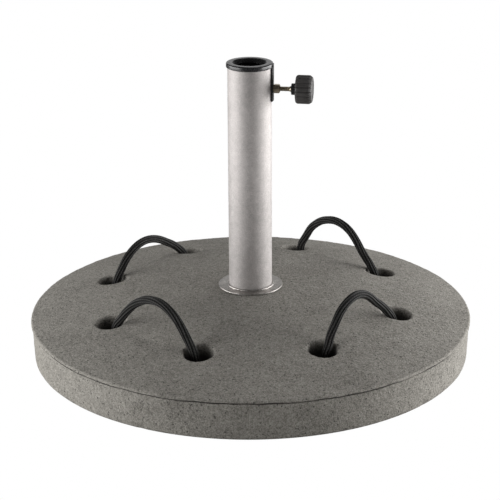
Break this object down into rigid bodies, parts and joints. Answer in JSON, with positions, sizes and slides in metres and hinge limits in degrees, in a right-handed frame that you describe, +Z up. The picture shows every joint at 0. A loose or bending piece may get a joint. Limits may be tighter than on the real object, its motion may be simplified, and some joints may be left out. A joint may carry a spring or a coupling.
{
  "type": "parasol base",
  "caption": "Round domed concrete parasol base with a central metal pole tube, a side clamp knob at the top and braided rope carrying handles.",
  "frame": {"origin": "on the floor, under the middle of the concrete disc", "axes": "+Z up along the pole tube; the clamp screw points 9 degrees to the -Y side of +X; the front is -Y"},
  "size_m": [0.55, 0.55, 0.371],
  "materials": {
    "concrete": "matte",
    "stainless": "satin",
    "zinc": "satin",
    "black_plastic": "gloss",
    "grey_plastic": "matte",
    "rubber": "matte",
    "rope": "matte"
  },
  "bodies": {
    "base": {"concrete_disc": "concrete", "foot_pad_1": "rubber", "foot_pad_2": "rubber", "foot_pad_3": "rubber", "foot_pad_4": "rubber", "pole_tube": "stainless", "base_flange": "stainless", "tube_foot_plug": "zinc", "fixing_bolt": "zinc", "fixing_washer": "zinc", "spring_washer": "zinc", "top_insert": "black_plastic", "clamp_nut": "zinc", "rope_end_back_right_a": "rope", "rope_end_back_right_b": "rope", "rope_end_back_left_a": "rope", "rope_end_back_left_b": "rope", "rope_end_front_left_a": "rope", "rope_end_front_left_b": "rope", "rope_end_front_right_a": "rope", "rope_end_front_right_b": "rope"},
    "clamp_feed": {"pressure_pad": "black_plastic"},
    "clamp_knob": {"clamp_screw": "zinc", "knob_hub": "black_plastic", "knob_grip": "grey_plastic"},
    "handle_back_right": {"rope_arch_back_right": "rope"},
    "handle_back_left": {"rope_arch_back_left": "rope"},
    "handle_front_left": {"rope_arch_front_left": "rope"},
    "handle_front_right": {"rope_arch_front_right": "rope"}
  },
  "joints": [
    {"name": "clamp_feed_slide", "type": "slide", "parent": "base", "child": "clamp_feed", "axis": [-0.9877, 0.1564, 0], "range_m": [-0.003, 0.011]},
    {"name": "clamp_knob_turn", "type": "hinge", "parent": "clamp_feed", "child": "clamp_knob", "pos_m": [0, 0, 0.3394], "axis": [-0.9877, 0.1564, 0], "range_deg": [-1075, 3955]},
    {"name": "handle_back_right_fold", "type": "hinge", "parent": "base", "child": "handle_back_right", "pos_m": [0.11464, 0.13049, 0.07852], "axis": [-0.7513, 0.66, 0], "range_deg": [-75, 90], "stiffness_Nm_per_rad": 0.03},
    {"name": "handle_back_left_fold", "type": "hinge", "parent": "base", "child": "handle_back_left", "pos_m": [-0.13049, 0.11464, 0.07852], "axis": [-0.66, -0.7513, 0], "range_deg": [-75, 90], "stiffness_Nm_per_rad": 0.03},
    {"name": "handle_front_left_fold", "type": "hinge", "parent": "base", "child": "handle_front_left", "pos_m": [-0.11464, -0.13049, 0.07852], "axis": [0.7513, -0.66, 0], "range_deg": [-75, 90], "stiffness_Nm_per_rad": 0.03},
    {"name": "handle_front_right_fold", "type": "hinge", "parent": "base", "child": "handle_front_right", "pos_m": [0.13049, -0.11464, 0.07852], "axis": [0.66, 0.7513, 0], "range_deg": [-75, 90], "stiffness_Nm_per_rad": 0.03}
  ],
  "couplings": [
    {"joint": "clamp_feed_slide", "follows": "clamp_knob_turn", "m_per_rad": 0.00015915}
  ]
}
